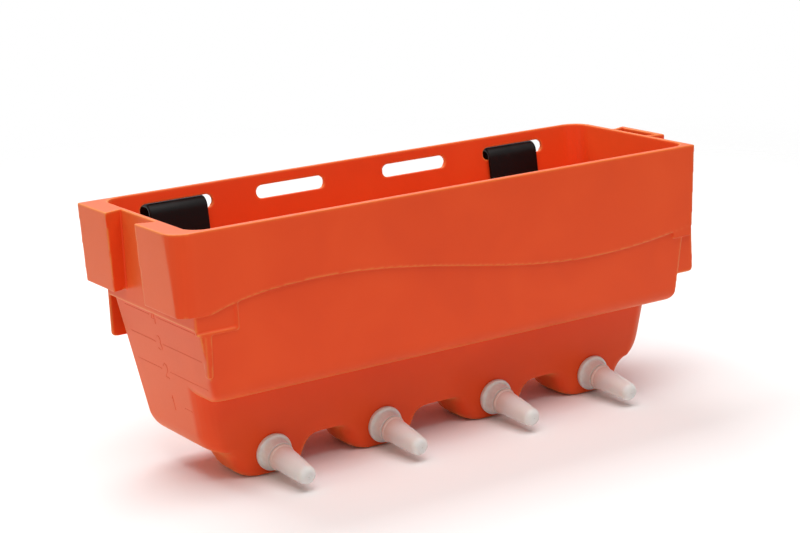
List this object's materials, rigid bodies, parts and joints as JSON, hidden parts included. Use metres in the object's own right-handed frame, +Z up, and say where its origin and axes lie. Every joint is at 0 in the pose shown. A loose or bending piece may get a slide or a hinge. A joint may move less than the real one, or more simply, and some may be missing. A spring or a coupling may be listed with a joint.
{
  "type": "multi teat lamb feeder",
  "caption": "Moulded milk trough with a row of soft teats along the foot of its front, strap hooks that hang it on a rail, and dovetail ends that link feeders side by side.",
  "frame": {"origin": "on top of the rail, under the hooks' bars, midway between the two hooks along X and midway across the rail gap along Y", "axes": "+X along the trough towards the end with the tongue, -Y towards the front with the teats, +Z up"},
  "size_m": [0.4485, 0.1777, 0.1871],
  "materials": {
    "trough": "satin moulded polypropylene, orange",
    "hook": "black powder coat on steel strap",
    "nipple": "pale translucent silicone",
    "seat": "natural moulded plastic",
    "seal": "black rubber",
    "nut": "white moulded plastic"
  },
  "bodies": {
    "trough": {"trough_left": "trough", "trough_right": "trough", "trough_back": "trough", "trough_front": "trough", "trough_foot_1": "trough", "trough_foot_2": "trough", "trough_foot_3": "trough", "trough_foot_4": "trough", "teat_seat_1": "seat", "teat_seat_2": "seat", "teat_seat_3": "seat", "teat_seat_4": "seat", "seal_ring_1": "seal", "seal_ring_2": "seal", "seal_ring_3": "seal", "seal_ring_4": "seal", "back_nut_1": "nut", "back_nut_2": "nut", "back_nut_3": "nut", "back_nut_4": "nut"},
    "hook_left": {"hook_left": "hook"},
    "hook_right": {"hook_right": "hook"},
    "teat_1": {"teat_1": "nipple"},
    "teat_2": {"teat_2": "nipple"},
    "teat_3": {"teat_3": "nipple"},
    "teat_4": {"teat_4": "nipple"}
  },
  "joints": [
    {"name": "hook_left_slide", "type": "slide", "parent": "trough", "child": "hook_left", "axis": [1, 0, 0], "range_m": [-0.0023, 0.0023]},
    {"name": "hook_right_slide", "type": "slide", "parent": "trough", "child": "hook_right", "axis": [1, 0, 0], "range_m": [-0.0003, 0.0043]},
    {"name": "teat_1_pull", "type": "slide", "parent": "trough", "child": "teat_1", "axis": [0, -0.9938, -0.1115], "range_m": [0, 0.016]},
    {"name": "teat_2_pull", "type": "slide", "parent": "trough", "child": "teat_2", "axis": [0, -0.9938, -0.1115], "range_m": [0, 0.016]},
    {"name": "teat_3_pull", "type": "slide", "parent": "trough", "child": "teat_3", "axis": [0, -0.9938, -0.1115], "range_m": [0, 0.016]},
    {"name": "teat_4_pull", "type": "slide", "parent": "trough", "child": "teat_4", "axis": [0, -0.9938, -0.1115], "range_m": [0, 0.016]}
  ]
}
